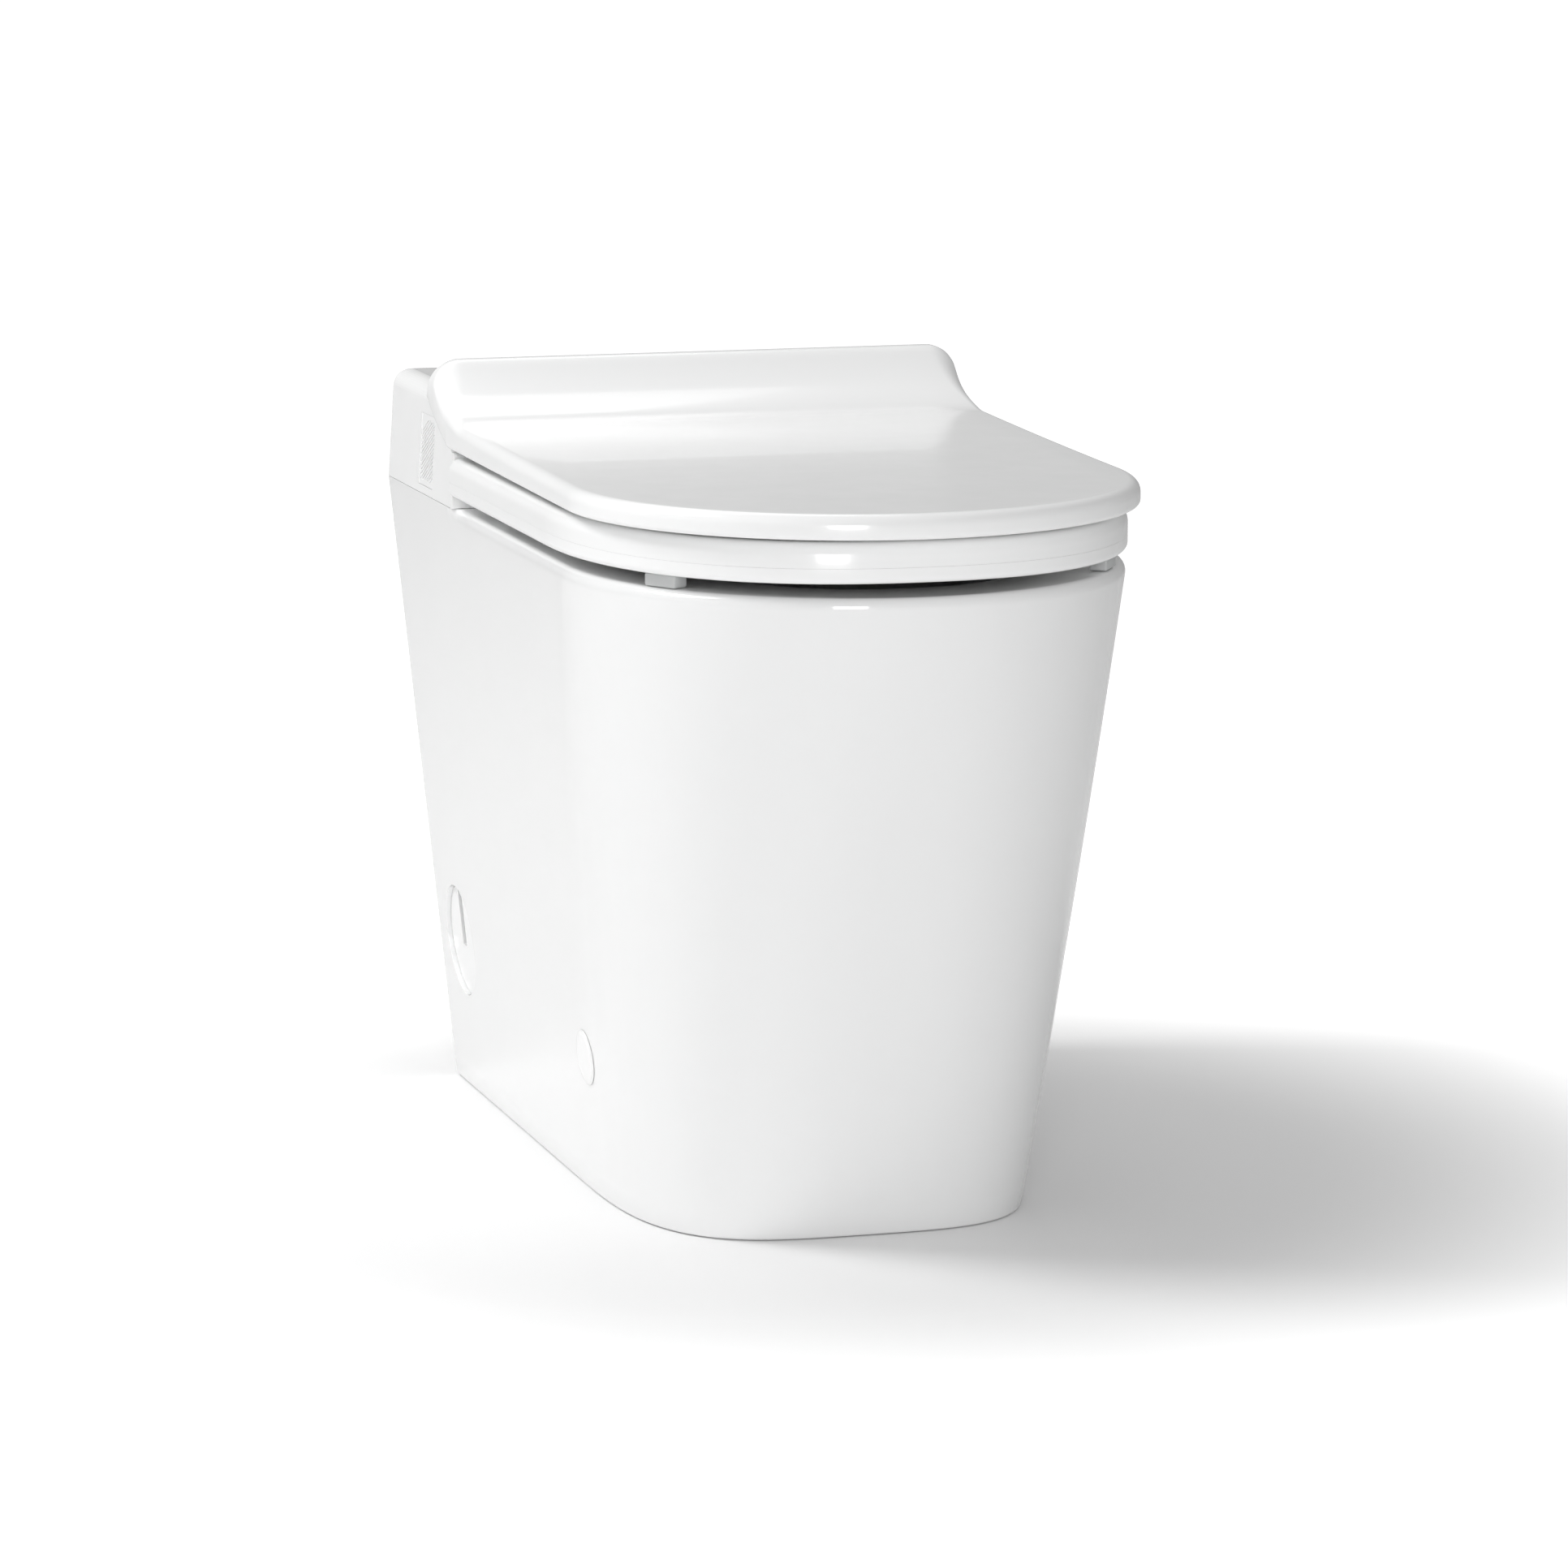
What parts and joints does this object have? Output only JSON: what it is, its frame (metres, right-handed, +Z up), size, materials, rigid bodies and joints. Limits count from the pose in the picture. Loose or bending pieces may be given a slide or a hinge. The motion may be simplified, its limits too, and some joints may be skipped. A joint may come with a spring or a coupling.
{
  "type": "electric bidet seat",
  "caption": "Floor-standing toilet with a built-in electric bidet seat: skirted ceramic bowl, hinged heated seat and lid, rear housing with spray wand, dryer and vent.",
  "frame": {"origin": "on the floor, under the middle of the overall box", "axes": "+Z up, +Y towards the wall behind it, +X to the sitter's left, which is the right of a person facing it"},
  "size_m": [0.375, 0.694, 0.5306],
  "materials": {
    "glazed_ceramic": "clear glossy white glaze over vitreous china, very slightly uneven",
    "white_plastic": "glossy white moulded plastic, polished",
    "inner_plastic": "satin white moulded plastic",
    "grey_plastic": "fine textured grey moulding",
    "panel_grey": "satin grey panel",
    "nozzle_grey": "satin grey nozzle insert",
    "black_plastic": "fine textured black moulding",
    "rubber": "soft grey rubber",
    "steel": "brushed stainless steel",
    "button_steel": "satin chromed button",
    "brass": "machined brass",
    "silicone_hose": "milky silicone tube",
    "circuit_board": "green solder mask with dark components",
    "copper": "copper coloured heating element",
    "carbon_filter": "rough carbon block",
    "smoked_window": "smoked sensor window"
  },
  "bodies": {
    "toilet": {"ceramic_pedestal": "glazed_ceramic", "ceramic_bowl": "glazed_ceramic", "ceramic_trapway": "glazed_ceramic", "ceramic_sump": "glazed_ceramic", "ceramic_outlet": "glazed_ceramic", "outlet_seal": "rubber", "flush_valve": "grey_plastic", "flush_pipe": "grey_plastic", "base_plate": "inner_plastic", "housing_cover": "white_plastic", "vent_grille": "inner_plastic", "control_panel": "panel_grey", "cable_gland": "black_plastic", "power_supply": "black_plastic", "water_inlet_fitting": "brass", "inlet_valve": "grey_plastic", "water_heater": "inner_plastic", "inlet_hose": "silicone_hose", "wash_hose": "silicone_hose", "control_board": "circuit_board", "dryer_fan_housing": "grey_plastic", "dryer_motor": "steel", "dryer_duct": "grey_plastic", "dryer_heater": "copper", "deodoriser_filter": "carbon_filter", "deodoriser_fan_housing": "grey_plastic", "seat_sensor_window": "smoked_window", "wand_guide": "grey_plastic", "wand_motor": "steel", "access_cover_left": "white_plastic", "bolt_cap_left": "white_plastic", "floor_bracket_left": "steel", "side_screw_left": "steel", "mounting_bolt_left": "steel", "access_cover_right": "white_plastic", "bolt_cap_right": "white_plastic", "floor_bracket_right": "steel", "side_screw_right": "steel", "mounting_bolt_right": "steel"},
    "seat": {"seat_top_shell": "white_plastic", "seat_base": "white_plastic", "seat_heater": "copper", "seat_bumper_front_left": "rubber", "seat_bumper_front_right": "rubber", "seat_bumper_rear_left": "rubber", "seat_bumper_rear_right": "rubber"},
    "lid": {"lid_shell": "white_plastic", "lid_inner_panel": "white_plastic", "lid_bumper_left": "rubber", "lid_bumper_right": "rubber", "hinge_shaft_left": "steel", "hinge_shaft_right": "steel"},
    "wand": {"spray_wand": "inner_plastic", "rear_nozzle": "nozzle_grey", "front_nozzle": "nozzle_grey"},
    "dryer_flap_body": {"dryer_flap": "inner_plastic"},
    "dryer_wheel": {"dryer_impeller": "inner_plastic"},
    "deodoriser_wheel": {"deodoriser_impeller": "inner_plastic"},
    "flush_button_body": {"flush_button": "button_steel"},
    "wash_button_body": {"wash_button": "inner_plastic"}
  },
  "joints": [
    {"name": "seat_hinge", "type": "hinge", "parent": "toilet", "child": "seat", "pos_m": [0, 0.21, 0.514], "axis": [-1, 0, 0], "range_deg": [0, 90]},
    {"name": "lid_hinge", "type": "hinge", "parent": "seat", "child": "lid", "pos_m": [0, 0.21, 0.514], "axis": [1, 0, 0], "range_deg": [-100, 0]},
    {"name": "wand_slide", "type": "slide", "parent": "toilet", "child": "wand", "axis": [0, -0.9781, -0.2079], "range_m": [0, 0.11]},
    {"name": "dryer_flap_hinge", "type": "hinge", "parent": "toilet", "child": "dryer_flap_body", "pos_m": [0.044, 0.1538, 0.459], "axis": [-1, 0, 0], "range_deg": [0, 70]},
    {"name": "dryer_fan_spin", "type": "hinge", "parent": "toilet", "child": "dryer_wheel", "pos_m": [0.057, 0.24, 0.45], "axis": [0, 0, 1], "continuous": true},
    {"name": "deodoriser_fan_spin", "type": "hinge", "parent": "toilet", "child": "deodoriser_wheel", "pos_m": [-0.14, 0.2365, 0.4623], "axis": [1, 0, 0], "continuous": true},
    {"name": "flush_press", "type": "slide", "parent": "toilet", "child": "flush_button_body", "axis": [-0.998, 0, -0.0635], "range_m": [0, 0.0015], "stiffness_N_per_m": 400},
    {"name": "wash_press", "type": "slide", "parent": "toilet", "child": "wash_button_body", "axis": [-0.998, 0, -0.0635], "range_m": [0, 0.0015], "stiffness_N_per_m": 400}
  ]
}
